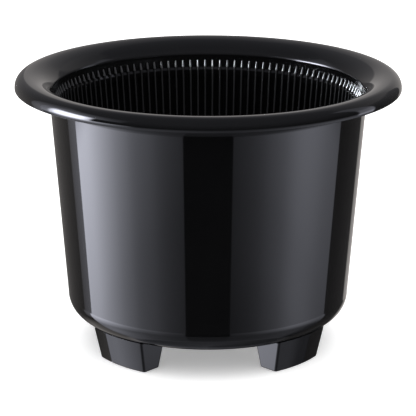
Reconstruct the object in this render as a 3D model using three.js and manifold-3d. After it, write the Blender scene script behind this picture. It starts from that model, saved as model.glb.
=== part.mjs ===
// A glossy moulded orchid pot: an outer pot with a wide rolled rim, a lift-out liner of
// upright ribs, a lift-out drain grate inside the liner, and four feet that snap into the floor.
// Millimetres, +Z up. The origin is on the ground, on the pot's axis.
import * as THREE from 'three';
import { mergeGeometries, mergeVertices } from 'three/addons/utils/BufferGeometryUtils.js';
import Module from 'manifold-3d';

const wasm = await Module();
wasm.setup();

// Outer pot, outside
const rimRadius = 90;
const potHeight = 129.7;
const footHeight = 14.7;
const creaseRadius = 66.8;
const creaseHeight = 24.3;
const wallTaper = 0.0757;
const cornerWidth = 8.4;
const lipRadius = 5.1;
const lipEdge = 0.9;
const lipEdgeBevel = 0.2;
const mouthSlopeHeight = 15.7;
const mouthSlopeDegrees = 142.3;
const coveHeight = 117.4;

// Outer pot, thicknesses
const wallThickness = 2.1;
const floorThickness = 2.2;
const rimThickness = 2.3;
const mouthRounding = 2.2;
const neckRise = 1;

// Drain holes in the floor
const centreDrainRadius = 7;
const drainSlotCount = 8;
const drainSlotWidth = 5;
const drainSlotLength = 15;
const drainSlotMiddle = 33;

// Liner
const linerClearance = 0.35;
const linerTop = 120;
const linerTaper = 0.1;
const ribCount = 120;
const ribWidth = 0.95;
const ribDepth = 1.4;
const ribTopSlope = 3.1;
const hoopThickness = 0.8;
const hoopInset = 0.15;
const topHoopHeight = 4;
const topHoopDrop = 0.4;
const baseRingHeight = 5;
const baseRingThickness = 1.7;
const linerFloorGap = 3.3;
const ledgeThickness = 2;
const ledgeWidth = 10;
const linerLegCount = 4;
const linerLegWidth = 9;
const linerLegDepth = 5;
const linerLegInset = 1;

// Drain grate
const grateClearance = 0.9;
const grateThickness = 2;
const grateEdgeHeight = 1.6;
const grateEdgeWidth = 1.6;
const grateSlotWidth = 3.4;
const outerSlotCount = 24;
const outerSlotLength = 15;
const innerSlotCount = 12;
const innerSlotLength = 14;
const slotRowGap = 3.2;
const fingerHoleRadius = 8;
const fingerCollarHeight = 3;
const fingerCollarWidth = 2;

// Feet
const feetDegrees = { foot_front_right: -45, foot_rear_right: 45, foot_rear_left: 135, foot_front_left: 225 };
const footSetBack = 7.9;
const footDepth = 11.6;
const footHalfWidth = 14.5;
const footOuterFlare = 0.2245;
const footInnerFlare = 0.19;
const footSideFlare = 0.088;
const footEdgeRadius = 1.3;
const footBottomBevel = 0.6;
const pegSetBack = 6.9;
const pegRadius = 3.4;
const pegHeadRadius = 4.4;
const pegHeadHeight = 2;
const pegSlit = 1.1;
const pegRoot = 3;

// Fits
const seatGap = 0.3;
const pegClearance = 0.3;

// Smoothness
const turnSteps = 72;
const linerSteps = ribCount / 2;
const grateSteps = 48;
const holeSteps = 20;

// How far a cutting body reaches past the face it cuts
const cutMargin = 1;

// Places that follow from the sizes above
const crownRadius = rimRadius - lipRadius;
const lipCentreHeight = potHeight - lipRadius;
const wallRadius = (height) => creaseRadius + wallTaper * (height - creaseHeight);
const innerRadius = (height) => wallRadius(height) - wallThickness;
const cornerAxis = creaseRadius - cornerWidth;
const cornerHeight = creaseHeight - footHeight;
const floorTop = footHeight + floorThickness;
const linerRadius = (height) => innerRadius(linerTop) - linerClearance - linerTaper * (linerTop - height);
const linerBottom = floorTop + linerFloorGap;
const ledgeTop = linerBottom + ledgeThickness;
const ledgeInner = linerRadius(ledgeTop) - baseRingThickness - ledgeWidth;
const ribBend = linerTop - ribTopSlope;
const footReach = creaseRadius - footSetBack;
const pegReach = footReach - pegSetBack;

const rad = THREE.MathUtils.degToRad;

// Points on an elliptical arc, from one angle to another, both ends included.
function arc(x, y, radiusX, radiusY, fromDegrees, toDegrees, steps) {
  const points = [];
  for (let i = 0; i <= steps; i += 1) {
    const angle = rad(fromDegrees + ((toDegrees - fromDegrees) * i) / steps);
    points.push(new THREE.Vector2(x + radiusX * Math.cos(angle), y + radiusY * Math.sin(angle)));
  }
  return points;
}

// Turns a profile of radius and height round the upright axis.
function turned(points, steps = turnSteps) {
  const geometry = new THREE.LatheGeometry(points, steps);
  geometry.rotateX(Math.PI / 2);
  return geometry;
}

// Extrudes an outline drawn in plan upwards from a height.
function raised(shape, bottom, height, curveSegments) {
  const geometry = new THREE.ExtrudeGeometry(shape, { depth: height, bevelEnabled: false, curveSegments });
  geometry.translate(0, 0, bottom);
  return geometry;
}

function solid(geometry) {
  const bare = geometry.clone();
  bare.deleteAttribute('normal');
  bare.deleteAttribute('uv');
  const merged = mergeVertices(bare, 1e-4);
  const mesh = new wasm.Mesh({
    numProp: 3,
    vertProperties: new Float32Array(merged.attributes.position.array),
    triVerts: new Uint32Array(merged.index.array),
  });
  return new wasm.Manifold(mesh);
}

function geometryOf(manifold) {
  const mesh = manifold.getMesh();
  const geometry = new THREE.BufferGeometry();
  geometry.setAttribute('position', new THREE.BufferAttribute(new Float32Array(mesh.vertProperties), 3));
  geometry.setIndex(new THREE.BufferAttribute(new Uint32Array(mesh.triVerts), 1));
  geometry.computeVertexNormals();
  return geometry;
}

// A round-ended slot that lies along a radius of the pot.
function radialSlot(middle, length, width, bottom, height, angle) {
  const half = length / 2 - width / 2;
  const shape = new THREE.Shape();
  shape.absarc(middle + half, 0, width / 2, -Math.PI / 2, Math.PI / 2, false);
  shape.absarc(middle - half, 0, width / 2, Math.PI / 2, (3 * Math.PI) / 2, false);
  shape.closePath();
  const geometry = raised(shape, bottom, height, 2);
  geometry.rotateZ(angle);
  return geometry;
}

function ringOfSlots(count, middle, length, width, bottom, height, turn = 0) {
  const slots = [];
  for (let i = 0; i < count; i += 1) {
    const angle = turn + (i * 2 * Math.PI) / count;
    slots.push(radialSlot(middle, length, width, bottom, height, angle));
  }
  return mergeGeometries(slots);
}

function disc(radius, bottom, height) {
  const geometry = new THREE.CylinderGeometry(radius, radius, height, holeSteps);
  geometry.rotateX(Math.PI / 2);
  geometry.translate(0, 0, bottom + height / 2);
  return geometry;
}

// Half section of the outer pot: out along the underside, up the outside, over the rim and down
// the inside to the floor.
function potProfile() {
  const coveRadius = wallRadius(coveHeight);
  const underTop = potHeight - rimThickness;
  const hollowRadius = lipRadius - rimThickness;
  const lipBottom = lipCentreHeight - lipEdge;
  const neckRadius = innerRadius(linerTop + neckRise);
  const slopeAxis = potHeight - mouthSlopeHeight;
  const slopeSine = Math.sin(rad(mouthSlopeDegrees));
  const slopeCosine = Math.cos(rad(mouthSlopeDegrees));
  const roundingStart = neckRadius + mouthRounding * (1 + slopeCosine);
  const slopeWidth = (roundingStart - crownRadius) / slopeCosine;
  const mouthHeight = slopeAxis + (mouthSlopeHeight - mouthRounding) * slopeSine;
  const innerCornerWidth = cornerWidth - wallThickness;
  const innerCornerHeight = cornerHeight - floorThickness;
  return [
    new THREE.Vector2(0, footHeight),
    ...arc(cornerAxis, creaseHeight, cornerWidth, cornerHeight, 270, 360, 5),
    ...arc(crownRadius, coveHeight, crownRadius - coveRadius, underTop - coveHeight, 180, 90, 5),
    ...arc(crownRadius, lipCentreHeight, hollowRadius, hollowRadius, 90, 0, 2).slice(1),
    new THREE.Vector2(crownRadius + hollowRadius + lipEdgeBevel, lipBottom),
    new THREE.Vector2(rimRadius - lipEdgeBevel, lipBottom),
    ...arc(crownRadius, lipCentreHeight, lipRadius, lipRadius, 0, 90, 5),
    ...arc(crownRadius, slopeAxis, slopeWidth, mouthSlopeHeight, 90, mouthSlopeDegrees, 4).slice(1),
    ...arc(
      neckRadius + mouthRounding, mouthHeight, mouthRounding, mouthRounding, mouthSlopeDegrees, 180, 2,
    ).slice(1),
    new THREE.Vector2(neckRadius, linerTop + neckRise),
    ...arc(cornerAxis, creaseHeight, innerCornerWidth, innerCornerHeight, 360, 270, 4),
    new THREE.Vector2(0, floorTop),
  ];
}

function potShell() {
  const through = floorThickness + 2 * cutMargin;
  const below = footHeight - cutMargin;
  let pot = solid(turned(potProfile()));
  pot = pot.subtract(solid(disc(centreDrainRadius, below, through)));
  pot = pot.subtract(solid(ringOfSlots(
    drainSlotCount, drainSlotMiddle, drainSlotLength, drainSlotWidth, below, through,
  )));
  for (const degrees of Object.values(feetDegrees)) {
    const hole = disc(pegRadius + pegClearance, below, through);
    hole.translate(pegReach, 0, 0);
    hole.rotateZ(rad(degrees));
    pot = pot.subtract(solid(hole));
  }
  return geometryOf(pot);
}

// One upright rib, its top sloping down and in from the liner's outer face to its front edge.
function ribGeometry(angle, bottom) {
  const back = (height) => linerRadius(height) - hoopInset;
  const front = (height) => linerRadius(height) - ribDepth;
  const blade = new THREE.Shape([
    new THREE.Vector2(back(bottom), bottom),
    new THREE.Vector2(back(linerTop), linerTop),
    new THREE.Vector2(front(ribBend), ribBend),
    new THREE.Vector2(front(bottom), bottom),
  ]);
  const geometry = new THREE.ExtrudeGeometry(blade, { depth: ribWidth, bevelEnabled: false });
  geometry.rotateX(Math.PI / 2);
  geometry.translate(0, ribWidth / 2, 0);
  geometry.rotateZ(angle);
  return geometry;
}

// A ring of the liner: a closed profile turned so that its facets meet between two ribs.
function linerRing(profile) {
  const geometry = turned([...profile, profile[0]], linerSteps);
  geometry.rotateZ(Math.PI / ribCount);
  return geometry;
}

// The hoop that ties the ribs together just below their sloping tops.
function topHoop(top) {
  const bottom = top - topHoopHeight;
  return linerRing([
    new THREE.Vector2(linerRadius(bottom) - hoopThickness, bottom),
    new THREE.Vector2(linerRadius(bottom), bottom),
    new THREE.Vector2(linerRadius(top), top),
    new THREE.Vector2(linerRadius(top) - hoopThickness, top),
  ]);
}

// The ring that the ribs grow out of, with the ledge inside it that carries the grate.
function linerBase() {
  const top = linerBottom + baseRingHeight;
  return linerRing([
    new THREE.Vector2(ledgeInner, linerBottom),
    new THREE.Vector2(linerRadius(linerBottom), linerBottom),
    new THREE.Vector2(linerRadius(top), top),
    new THREE.Vector2(linerRadius(top) - baseRingThickness, top),
    new THREE.Vector2(linerRadius(ledgeTop) - baseRingThickness, ledgeTop),
    new THREE.Vector2(ledgeInner, ledgeTop),
  ]);
}

function linerLeg(angle) {
  const bottom = floorTop + seatGap;
  const height = linerBottom + ledgeThickness / 2 - bottom;
  const leg = new THREE.BoxGeometry(linerLegDepth, linerLegWidth, height);
  leg.translate(ledgeInner + linerLegInset + linerLegDepth / 2, 0, bottom + height / 2);
  leg.rotateZ(angle);
  return leg;
}

function ribLiner() {
  const ribRoot = linerBottom + ledgeThickness / 2;
  let liner = solid(linerBase());
  liner = liner.add(solid(topHoop(ribBend - topHoopDrop)));
  for (let i = 0; i < linerLegCount; i += 1) {
    liner = liner.add(solid(linerLeg((i * 2 * Math.PI) / linerLegCount)));
  }
  const ribs = [];
  for (let i = 0; i < ribCount; i += 1) {
    ribs.push(ribGeometry((i * 2 * Math.PI) / ribCount, ribRoot));
  }
  return geometryOf(liner.add(solid(mergeGeometries(ribs))));
}

function drainGrate() {
  const bottom = ledgeTop + seatGap;
  const top = bottom + grateThickness;
  const outer = linerRadius(bottom) - Math.max(ribDepth, baseRingThickness) - grateClearance;
  const edgeTop = top + grateEdgeHeight;
  const collarOuter = fingerHoleRadius + fingerCollarWidth;
  const plate = turned([
    new THREE.Vector2(fingerHoleRadius, bottom),
    new THREE.Vector2(outer, bottom),
    new THREE.Vector2(outer, edgeTop),
    new THREE.Vector2(outer - grateEdgeWidth, edgeTop),
    new THREE.Vector2(outer - grateEdgeWidth, top),
    new THREE.Vector2(collarOuter, top),
    new THREE.Vector2(collarOuter, top + fingerCollarHeight),
    new THREE.Vector2(fingerHoleRadius, top + fingerCollarHeight),
    new THREE.Vector2(fingerHoleRadius, bottom),
  ], grateSteps);
  const outerMiddle = outer - grateEdgeWidth - slotRowGap - outerSlotLength / 2;
  const innerMiddle = outerMiddle - outerSlotLength / 2 - slotRowGap - innerSlotLength / 2;
  const cutBottom = bottom - cutMargin;
  const cutHeight = grateThickness + 2 * cutMargin;
  let grate = solid(plate);
  grate = grate.subtract(solid(ringOfSlots(
    outerSlotCount, outerMiddle, outerSlotLength, grateSlotWidth, cutBottom, cutHeight,
  )));
  grate = grate.subtract(solid(ringOfSlots(
    innerSlotCount, innerMiddle, innerSlotLength, grateSlotWidth, cutBottom, cutHeight,
    Math.PI / innerSlotCount,
  )));
  return geometryOf(grate);
}

// Outline of a foot in plan at a height, anticlockwise, for a foot that points along +X.
function footOutline(height, inset = 0) {
  const outer = footReach + footOuterFlare * height - inset;
  const inner = footReach - footDepth - footInnerFlare * height + inset;
  const side = footHalfWidth + footSideFlare * height - inset;
  const round = footEdgeRadius - inset / 2;
  const edgeX = Math.sqrt((outer - round) ** 2 - (side - round) ** 2);
  const edgeY = side - round;
  const edgeTurn = THREE.MathUtils.radToDeg(Math.atan2(edgeY, edgeX));
  const half = [
    ...arc(0, 0, outer, outer, 0, edgeTurn, 4),
    ...arc(edgeX, edgeY, round, round, edgeTurn, 90, 3).slice(1),
    ...arc(inner + round, edgeY, round, round, 90, 180, 3),
  ];
  const mirrored = half.slice(1).reverse().map((point) => new THREE.Vector2(point.x, -point.y));
  return [...half, ...mirrored];
}

// Skins a stack of outlines, each given as a height and its points, into one closed body.
function lofted(levels) {
  const count = levels[0].points.length;
  const positions = [];
  for (const level of levels) {
    for (const point of level.points) positions.push(point.x, point.y, level.height);
  }
  const index = [];
  for (let level = 0; level < levels.length - 1; level += 1) {
    for (let i = 0; i < count; i += 1) {
      const a = level * count + i;
      const b = level * count + ((i + 1) % count);
      index.push(a, b, b + count, a, b + count, a + count);
    }
  }
  const last = (levels.length - 1) * count;
  for (const [p, q, r] of THREE.ShapeUtils.triangulateShape(levels[0].points, [])) {
    index.push(r, q, p);
    index.push(last + p, last + q, last + r);
  }
  const geometry = new THREE.BufferGeometry();
  geometry.setAttribute('position', new THREE.Float32BufferAttribute(positions, 3));
  geometry.setIndex(index);
  return geometry;
}

// The pot's underside, a seat gap larger all round, as the body that shapes the feet's tops.
function undersideBody() {
  return turned([
    new THREE.Vector2(0, footHeight - seatGap),
    ...arc(cornerAxis, creaseHeight, cornerWidth + seatGap, cornerHeight + seatGap, -90, 0, 5),
    new THREE.Vector2(0, creaseHeight),
  ]);
}

// A foot that points along +X: a flared block cut to the pot's underside, with a slit peg that
// goes up through the floor and holds by its wider head.
function footGeometry(underside, degrees) {
  const blockTop = creaseHeight - cutMargin;
  const block = lofted([
    { height: 0, points: footOutline(0, footBottomBevel) },
    { height: footBottomBevel, points: footOutline(footBottomBevel) },
    { height: blockTop, points: footOutline(blockTop) },
  ]);
  const pegBottom = footHeight - pegRoot;
  const headBottom = floorTop + seatGap;
  const headMiddle = headBottom + pegHeadHeight / 2;
  const peg = disc(pegRadius, pegBottom, headMiddle - pegBottom);
  const head = new THREE.CylinderGeometry(pegRadius, pegHeadRadius, pegHeadHeight, holeSteps);
  head.rotateX(Math.PI / 2);
  head.translate(pegReach, 0, headMiddle);
  peg.translate(pegReach, 0, 0);
  const slitBottom = footHeight;
  const slitTop = headBottom + pegHeadHeight + cutMargin;
  const slit = new THREE.BoxGeometry(pegSlit, 2 * (pegHeadRadius + cutMargin), slitTop - slitBottom);
  slit.translate(pegReach, 0, (slitTop + slitBottom) / 2);
  const foot = solid(block).subtract(underside).add(solid(peg)).add(solid(head)).subtract(solid(slit));
  const geometry = geometryOf(foot);
  geometry.rotateZ(rad(degrees));
  return geometry;
}

const glossBlack = new THREE.MeshStandardMaterial({ color: 0x111113, roughness: 0.08, metalness: 0 });
const satinBlack = new THREE.MeshStandardMaterial({ color: 0x0d0d0e, roughness: 0.32, metalness: 0 });

function named(name, geometry, material) {
  const mesh = new THREE.Mesh(geometry, material);
  mesh.name = name;
  return mesh;
}

const pot = new THREE.Group();
pot.add(named('pot_shell', potShell(), glossBlack));
pot.add(named('rib_liner', ribLiner(), satinBlack));
pot.add(named('drain_grate', drainGrate(), satinBlack));

const underside = solid(undersideBody());
const feet = new THREE.Group();
for (const [name, degrees] of Object.entries(feetDegrees)) {
  feet.add(named(name, footGeometry(underside, degrees), glossBlack));
}
pot.add(feet);

export default pot;
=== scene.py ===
"""A glossy black orchid pot on a pale table: outer pot, lift-out rib liner, drain grate and four feet.

Sizes are in millimetres and become metres where a mesh is made. The overall sizes and the places of
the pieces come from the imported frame.
"""
from __future__ import annotations

import logging
import math
from dataclasses import dataclass
from enum import Enum
from typing import Iterable, Sequence, Union

import bmesh
import bpy
from mathutils import Euler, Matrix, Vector
from mathutils.geometry import delaunay_2d_cdt

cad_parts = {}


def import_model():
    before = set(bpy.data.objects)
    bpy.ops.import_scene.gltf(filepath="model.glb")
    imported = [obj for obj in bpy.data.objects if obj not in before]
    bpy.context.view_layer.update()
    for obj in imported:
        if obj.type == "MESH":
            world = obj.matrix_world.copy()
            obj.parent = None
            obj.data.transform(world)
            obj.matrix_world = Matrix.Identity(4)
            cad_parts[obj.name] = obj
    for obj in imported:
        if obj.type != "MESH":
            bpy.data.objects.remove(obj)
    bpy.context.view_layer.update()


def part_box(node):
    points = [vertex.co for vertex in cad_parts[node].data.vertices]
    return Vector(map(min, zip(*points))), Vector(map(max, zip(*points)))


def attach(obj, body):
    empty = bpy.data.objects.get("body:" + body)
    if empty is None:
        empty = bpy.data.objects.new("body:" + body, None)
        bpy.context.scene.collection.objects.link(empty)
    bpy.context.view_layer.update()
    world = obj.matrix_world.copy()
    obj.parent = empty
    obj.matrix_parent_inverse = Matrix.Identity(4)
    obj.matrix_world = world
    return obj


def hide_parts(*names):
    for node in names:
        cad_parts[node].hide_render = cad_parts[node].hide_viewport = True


LOG = logging.getLogger("orchid_pot")

MM = 0.001
INSIDE_ONLY = 1
MERGE_DISTANCE = 1e-5
WELD_DISTANCE = 0.002
SHARP_DEGREES = 32.0
PLASTIC_IOR = 1.5
WHITE = (1.0, 1.0, 1.0, 1.0)
FOOT_DEGREES = {
    "foot_front_right": -45.0,
    "foot_rear_right": 45.0,
    "foot_rear_left": 135.0,
    "foot_front_left": 225.0,
}

Point = tuple[float, float, float]
Outline = list[tuple[float, float]]


def arc(
    x: float, y: float, radius_x: float, radius_y: float, start: float, end: float, steps: int
) -> Outline:
    """Points on an elliptical arc, both ends included.

    Args:
        x: Centre, across.
        y: Centre, up.
        radius_x: Radius across.
        radius_y: Radius up.
        start: First angle in degrees.
        end: Last angle in degrees.
        steps: Number of steps.

    Returns:
        The points in order.
    """
    angles = [math.radians(start + (end - start) * i / steps) for i in range(steps + 1)]
    return [(x + radius_x * math.cos(a), y + radius_y * math.sin(a)) for a in angles]


def round_arc(x: float, y: float, radius: float, start: float, end: float, steps: int) -> Outline:
    """Points on part of a circle, as arc gives them on part of an ellipse."""
    return arc(x, y, radius, radius, start, end, steps)


def circle(radius: float, steps: int, middle: float = 0.0) -> Outline:
    """Points of a circle in plan, anticlockwise, whose centre lies at a middle along +X."""
    turn = 2 * math.pi / steps
    return [
        (middle + radius * math.cos(i * turn), radius * math.sin(i * turn)) for i in range(steps)
    ]


def turned_in_plan(points: Iterable[Point], angle: float) -> list[Point]:
    """Turns points round the upright axis.

    Args:
        points: Points to turn.
        angle: Angle in radians, anticlockwise from above.

    Returns:
        The turned points.
    """
    cosine = math.cos(angle)
    sine = math.sin(angle)
    return [(x * cosine - y * sine, x * sine + y * cosine, z) for x, y, z in points]


class Body:
    """A closed surface in millimetres, gathered loop by loop."""

    def __init__(self) -> None:
        """Starts with nothing in it."""
        self.points: list[Point] = []
        self.faces: list[tuple[int, ...]] = []

    def loop(self, points: Iterable[Point]) -> list[int]:
        """Adds a closed loop of points.

        Args:
            points: Points of the loop in order.

        Returns:
            The loop's point numbers.
        """
        first = len(self.points)
        self.points.extend(points)
        return list(range(first, len(self.points)))

    def skin(self, loops: Sequence[list[int]]) -> None:
        """Joins each loop to the next by a band of four-sided faces.

        Args:
            loops: Loops with the same number of points.
        """
        for lower, upper in zip(loops, loops[1:]):
            for i in range(len(lower)):
                j = (i + 1) % len(lower)
                self.faces.append((lower[i], lower[j], upper[j], upper[i]))

    def level_loop(self, outline: Outline, height: float) -> list[int]:
        """Adds an outline in plan as a loop at a height."""
        return self.loop((x, y, height) for x, y in outline)

    def turned(self, profile: Outline, steps: int) -> list[list[int]]:
        """Turns a half section round the upright axis.

        Args:
            profile: Radius and height of each point.
            steps: Number of steps in the turn.

        Returns:
            One loop for each point of the profile.
        """
        loops = [self.level_loop(circle(radius, steps), height) for radius, height in profile]
        self.skin(loops)
        return loops

    def ring(self, section: Outline, steps: int) -> None:
        """Turns a closed section of radii and heights round the upright axis."""
        loops = self.turned(section, steps)
        self.skin([loops[-1], loops[0]])

    def cap(self, loop: list[int]) -> None:
        """Closes a flat loop with one face."""
        self.faces.append(tuple(loop))

    def stack(self, loops: Sequence[list[int]]) -> None:
        """Joins loops by a skin and closes both ends."""
        self.skin(loops)
        self.cap(loops[0])
        self.cap(loops[-1])

    def fill(self, outline: list[int], holes: Sequence[list[int]]) -> None:
        """Fills the level region inside an outline and outside its holes.

        Args:
            outline: The outer loop.
            holes: The loops that are left open.
        """
        used: list[int] = []
        rings = []
        for ring in (outline, *holes):
            rings.append(list(range(len(used), len(used) + len(ring))))
            used.extend(ring)
        flat = [Vector(self.points[i][:2]) for i in used]
        filled = delaunay_2d_cdt(flat, [], rings, INSIDE_ONLY, MERGE_DISTANCE)
        for face, owners in zip(filled[2], filled[5]):
            if owners == [0]:
                self.faces.append(tuple(used[i] for i in face))

    def add(self, other: Body, angle: float) -> None:
        """Takes in a copy of another body, turned round the upright axis.

        Args:
            other: The body to copy.
            angle: Angle in radians.
        """
        first = len(self.points)
        self.points.extend(turned_in_plan(other.points, angle))
        self.faces.extend(tuple(first + i for i in face) for face in other.faces)

    def repeated(self, count: int) -> Body:
        """Spreads copies evenly round the upright axis.

        Args:
            count: Number of copies.

        Returns:
            The copies in one body.
        """
        copies = Body()
        for i in range(count):
            copies.add(self, 2 * math.pi * i / count)
        return copies

    def mesh(self, name: str) -> bpy.types.Mesh:
        """Makes a mesh in metres with its faces pointing out.

        Args:
            name: Name of the mesh.

        Returns:
            The mesh.
        """
        mesh = bpy.data.meshes.new(name)
        mesh.from_pydata([tuple(c * MM for c in point) for point in self.points], [], self.faces)
        work = bmesh.new()
        work.from_mesh(mesh)
        bmesh.ops.recalc_face_normals(work, faces=work.faces[:])
        work.to_mesh(mesh)
        work.free()
        return mesh


def new_object(name: str, data: bpy.types.ID) -> bpy.types.Object:
    """Puts a mesh, lamp or camera in the scene as an object.

    Args:
        name: Name of the object.
        data: What it shows.

    Returns:
        The object.
    """
    made = bpy.data.objects.new(name, data)
    bpy.context.scene.collection.objects.link(made)
    return made


def joined(name: str, bodies: Sequence[Body]) -> bpy.types.Object:
    """Fuses overlapping closed bodies into one and welds the slivers that the fusing leaves.

    Args:
        name: Name of the object.
        bodies: The bodies, the first of which is the base.

    Returns:
        The fused object.
    """
    parts = [new_object(f"{name}.{i}", body.mesh(f"{name}.{i}")) for i, body in enumerate(bodies)]
    base = parts[0]
    for other in parts[1:]:
        modifier = base.modifiers.new("join", "BOOLEAN")
        modifier.operation = "UNION"
        modifier.solver = "MANIFOLD"
        modifier.object = other
    evaluated = base.evaluated_get(bpy.context.evaluated_depsgraph_get())
    mesh = bpy.data.meshes.new_from_object(evaluated)
    work = bmesh.new()
    work.from_mesh(mesh)
    bmesh.ops.remove_doubles(work, verts=work.verts[:], dist=WELD_DISTANCE * MM)
    work.to_mesh(mesh)
    work.free()
    for part in parts:
        spare = part.data
        bpy.data.objects.remove(part)
        bpy.data.meshes.remove(spare)
    mesh.name = name
    return new_object(name, mesh)


def shaded(made: bpy.types.Object) -> None:
    """Smooths an object's rounded faces and keeps its hard edges and flat faces.

    Args:
        made: The object.
    """
    made.data.shade_smooth()
    made.data.set_sharp_from_angle(angle=math.radians(SHARP_DEGREES))
    modifier = made.modifiers.new("flat_faces", "WEIGHTED_NORMAL")
    modifier.keep_sharp = True


class Value:
    """A number at a node's socket, on which Python's operators add Math nodes."""

    def __init__(self, graph: Graph, socket: bpy.types.NodeSocket) -> None:
        """Wraps an output socket of a node tree."""
        self.graph = graph
        self.socket = socket

    def math(self, operation: str, *inputs: Union[Value, float]) -> Value:
        """Adds a Math node that works on the inputs in order, and wraps its result."""
        node = self.graph.node("ShaderNodeMath", {"operation": operation}, dict(enumerate(inputs)))
        return Value(self.graph, node.outputs[0])

    def __add__(self, other: Union[Value, float]) -> Value:
        """The sum of two values."""
        return self.math("ADD", self, other)

    def __radd__(self, other: float) -> Value:
        """The sum of a number and a value."""
        return self.math("ADD", other, self)

    def __sub__(self, other: Union[Value, float]) -> Value:
        """The difference of two values."""
        return self.math("SUBTRACT", self, other)

    def __rsub__(self, other: float) -> Value:
        """A number less a value."""
        return self.math("SUBTRACT", other, self)

    def __mul__(self, other: Union[Value, float]) -> Value:
        """The product of two values."""
        return self.math("MULTIPLY", self, other)

    def __rmul__(self, other: float) -> Value:
        """The product of a number and a value."""
        return self.math("MULTIPLY", other, self)


Link = Union[Value, bpy.types.NodeSocket, float, Sequence[float]]


class Graph:
    """A node tree that is filled from Python."""

    MIX_FIRST = 6
    MIX_SECOND = 7
    MIX_RESULT = 2

    def __init__(self, tree: bpy.types.NodeTree) -> None:
        """Empties a node tree to fill it."""
        self.tree = tree
        tree.nodes.clear()

    def node(
        self,
        kind: str,
        settings: dict[str, object] | None = None,
        sockets: dict[Union[str, int], Link] | None = None,
    ) -> bpy.types.Node:
        """Adds a node.

        Args:
            kind: The node's type.
            settings: Its settings, and a ramp's stops as pairs of place and level.
            sockets: What each input holds or is linked to.

        Returns:
            The node.
        """
        made = self.tree.nodes.new(kind)
        for name, setting in (settings or {}).items():
            if name == "stops":
                self._set_stops(made.color_ramp, setting)
            elif name == "interpolation" and kind == "ShaderNodeValToRGB":
                made.color_ramp.interpolation = setting
            else:
                setattr(made, name, setting)
        for name, link in (sockets or {}).items():
            source = link.socket if isinstance(link, Value) else link
            if isinstance(source, bpy.types.NodeSocket):
                self.tree.links.new(source, made.inputs[name])
            else:
                made.inputs[name].default_value = source
        return made

    @staticmethod
    def _set_stops(ramp: bpy.types.ColorRamp, stops: Sequence[tuple[float, float]]) -> None:
        """Gives a ramp its stops, from left to right."""
        for _ in range(len(stops) - len(ramp.elements)):
            ramp.elements.new(1.0)
        for element, (place, level) in zip(ramp.elements, stops):
            element.position = place
            element.color = (level, level, level, 1.0)

    def value(self, node: bpy.types.Node, output: Union[str, int] = 0) -> Value:
        """Wraps a node's output as a value."""
        return Value(self, node.outputs[output])

    def mixed(self, share: Union[Value, float], first: Link, second: Link) -> bpy.types.NodeSocket:
        """Mixes two colours.

        Args:
            share: Share of the second.
            first: The first colour.
            second: The second colour.

        Returns:
            The mixture.
        """
        node = self.node(
            "ShaderNodeMix",
            {"data_type": "RGBA"},
            {"Factor": share, self.MIX_FIRST: first, self.MIX_SECOND: second},
        )
        return node.outputs[self.MIX_RESULT]

    def rays(self, *kinds: str) -> Value:
        """One for rays of the given kinds and nothing for others."""
        path = self.node("ShaderNodeLightPath")
        return sum((self.value(path, f"Is {kind} Ray") for kind in kinds), 0.0)

    def radius_and_height(self, place: bpy.types.NodeSocket) -> tuple[Value, Value]:
        """Measures a place from the upright axis and from the ground.

        Args:
            place: The place.

        Returns:
            Its radius and its height, in metres.
        """
        parts = self.node("ShaderNodeSeparateXYZ", {}, {"Vector": place})
        x = self.value(parts, "X")
        y = self.value(parts, "Y")
        square = x * x + y * y
        return square.math("SQRT", square), self.value(parts, "Z")

    def spread(self, source: Value, low: float, high: float, start: float, end: float) -> Value:
        """Maps a range smoothly onto another and stops at its ends.

        Args:
            source: The value to map.
            low: Where the range starts.
            high: Where it ends.
            start: What the start becomes.
            end: What the end becomes.

        Returns:
            The mapped value.
        """
        node = self.node(
            "ShaderNodeMapRange",
            {"interpolation_type": "SMOOTHSTEP"},
            {"Value": source, "From Min": low, "From Max": high, "To Min": start, "To Max": end},
        )
        return self.value(node)

    def window(self, source: Value, low: float, high: float, soft: float) -> Value:
        """One inside a range and nothing outside it, with soft edges.

        Args:
            source: The value to test.
            low: Lower edge of the range.
            high: Upper edge of the range.
            soft: Width of each edge.

        Returns:
            The mask.
        """
        half = soft / 2
        rise = self.spread(source, low - half, low + half, 0.0, 1.0)
        return rise * self.spread(source, high - half, high + half, 1.0, 0.0)

    def curve(self, source: Value, stops: Sequence[tuple[float, float]]) -> Value:
        """Follows a smooth curve through a few points.

        Args:
            source: The value to look up.
            stops: Pairs of place and level, in rising order of place.

        Returns:
            The level.
        """
        first = stops[0][0]
        length = stops[-1][0] - first
        peak = max(level for _, level in stops)
        ramp = self.node(
            "ShaderNodeValToRGB",
            {
                "interpolation": "CARDINAL",
                "stops": [((place - first) / length, level / peak) for place, level in stops],
            },
            {"Fac": (source - first) * (1.0 / length)},
        )
        return self.value(ramp, "Color") * peak


def new_material(name: str) -> tuple[bpy.types.Material, Graph]:
    """Makes a material with an empty node tree.

    Args:
        name: Name of the material.

    Returns:
        The material and its node tree.
    """
    made = bpy.data.materials.new(name)
    made.use_nodes = True
    return made, Graph(made.node_tree)


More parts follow.
